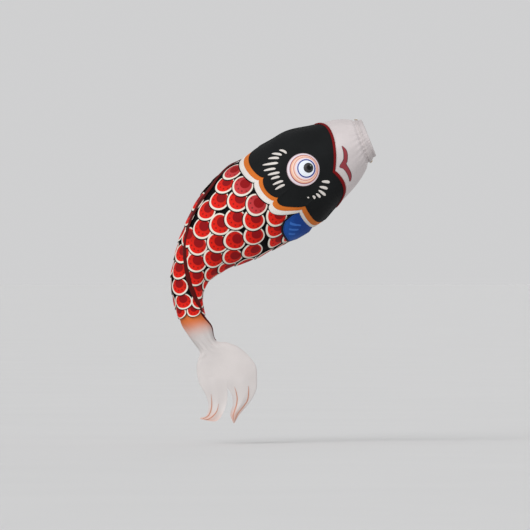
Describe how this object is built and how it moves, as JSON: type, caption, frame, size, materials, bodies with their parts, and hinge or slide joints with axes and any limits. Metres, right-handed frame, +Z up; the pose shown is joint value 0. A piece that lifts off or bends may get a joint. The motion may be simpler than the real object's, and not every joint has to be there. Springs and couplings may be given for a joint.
{
  "type": "carp streamer",
  "caption": "Carp-shaped windsock streamer of sewn cloth: ringed mouth with eyelets, scaled jointed body, side fins and forked tail, open from mouth to tail.",
  "frame": {"origin": "centre of the mouth ring, which is where the streamer is held", "axes": "+Z up, +X the way the mouth faces (22 degrees above it), -Y the carp's right side at the head; the body sweeps back along -X and down along -Z to the tail"},
  "size_m": [0.5326, 0.2316, 0.7897],
  "materials": {
    "white_cloth": "woven polyester, off-white",
    "black_cloth": "woven polyester, black",
    "red_cloth": "woven polyester, printed bright red scales",
    "maroon_cloth": "woven polyester, dark red",
    "orange_cloth": "woven polyester, orange",
    "blue_cloth": "woven polyester, blue",
    "peach_cloth": "woven polyester, orange fading to white",
    "spring_steel": "bright spring wire",
    "brass": "stamped brass"
  },
  "bodies": {
    "head": {"mouth_ring": "spring_steel", "ring_ferrule": "brass", "mouth_hem": "white_cloth", "snout_panel": "white_cloth", "eyelet_top": "brass", "eyelet_bottom": "brass", "eyelet_washer_top": "brass", "eyelet_washer_bottom": "brass", "snout_piping": "maroon_cloth", "hood_right": "black_cloth", "hood_left": "black_cloth", "neck_cloth_right": "black_cloth", "neck_cloth_left": "black_cloth", "gill_trim_orange_right": "orange_cloth", "gill_trim_orange_left": "orange_cloth", "gill_trim_white_right": "white_cloth", "gill_trim_white_left": "white_cloth", "eye_white_right": "white_cloth", "eye_white_left": "white_cloth", "eye_iris_right": "white_cloth", "eye_iris_left": "white_cloth", "eye_pupil_right": "black_cloth", "eye_pupil_left": "black_cloth", "scale_row_1": "red_cloth", "back_ribbon_1": "maroon_cloth"},
    "front": {"front_cloth_right": "black_cloth", "front_cloth_left": "black_cloth", "scale_row_2": "red_cloth", "scale_row_3": "red_cloth", "scale_row_4": "red_cloth", "back_ribbon_2": "maroon_cloth"},
    "middle": {"middle_cloth_right": "black_cloth", "middle_cloth_left": "black_cloth", "scale_row_5": "red_cloth", "scale_row_6": "red_cloth", "back_ribbon_3": "maroon_cloth"},
    "rear": {"rear_cloth_right": "black_cloth", "rear_cloth_left": "black_cloth", "scale_row_7": "red_cloth", "scale_row_8": "red_cloth", "scale_row_9": "red_cloth", "back_ribbon_4": "maroon_cloth"},
    "stem": {"tail_stem_right": "peach_cloth", "tail_stem_left": "peach_cloth", "back_ribbon_5": "maroon_cloth"},
    "fin": {"tail_fin_right": "white_cloth", "tail_fin_left": "white_cloth"},
    "back_lobe": {"tail_lobe_back": "white_cloth"},
    "belly_lobe": {"tail_lobe_belly": "white_cloth"},
    "side_fin_right": {"side_fin_right": "blue_cloth"},
    "side_fin_left": {"side_fin_left": "blue_cloth"}
  },
  "joints": [
    {"name": "neck_wag", "type": "hinge", "parent": "head", "child": "front", "pos_m": [-0.29099, 0, -0.17597], "axis": [-0.5877, 0, 0.8091], "range_deg": [-14, 14], "stiffness_Nm_per_rad": 12},
    {"name": "waist_nod", "type": "hinge", "parent": "front", "child": "middle", "pos_m": [-0.381, 0, -0.2484], "axis": [0, 1, 0], "range_deg": [-14, 14], "stiffness_Nm_per_rad": 8},
    {"name": "hips_wag", "type": "hinge", "parent": "middle", "child": "rear", "pos_m": [-0.44816, 0, -0.32864], "axis": [-0.8507, 0, 0.5256], "range_deg": [-14, 14], "stiffness_Nm_per_rad": 4},
    {"name": "tail_root_nod", "type": "hinge", "parent": "rear", "child": "stem", "pos_m": [-0.46249, 0, -0.4407], "axis": [0, 1, 0], "range_deg": [-14, 14], "stiffness_Nm_per_rad": 3},
    {"name": "fin_wag", "type": "hinge", "parent": "stem", "child": "fin", "pos_m": [-0.41225, 0, -0.543], "axis": [-0.8351, 0, -0.5502], "range_deg": [-20, 20], "stiffness_Nm_per_rad": 1.5},
    {"name": "back_lobe_flap", "type": "hinge", "parent": "fin", "child": "back_lobe", "pos_m": [-0.3637, 0, -0.6415], "axis": [1, 0, 0], "range_deg": [-25, 25]},
    {"name": "belly_lobe_flap", "type": "hinge", "parent": "fin", "child": "belly_lobe", "pos_m": [-0.3637, 0, -0.6415], "axis": [1, 0, 0], "range_deg": [-25, 25]},
    {"name": "side_fin_right_flap", "type": "hinge", "parent": "head", "child": "side_fin_right", "pos_m": [-0.16022, -0.06285, -0.22257], "axis": [-0.2455, -0.8184, 0.5196], "range_deg": [0, 25]},
    {"name": "side_fin_left_flap", "type": "hinge", "parent": "head", "child": "side_fin_left", "pos_m": [-0.15971, 0.06112, -0.22365], "axis": [0.2391, -0.8287, -0.5061], "range_deg": [0, 25]}
  ]
}
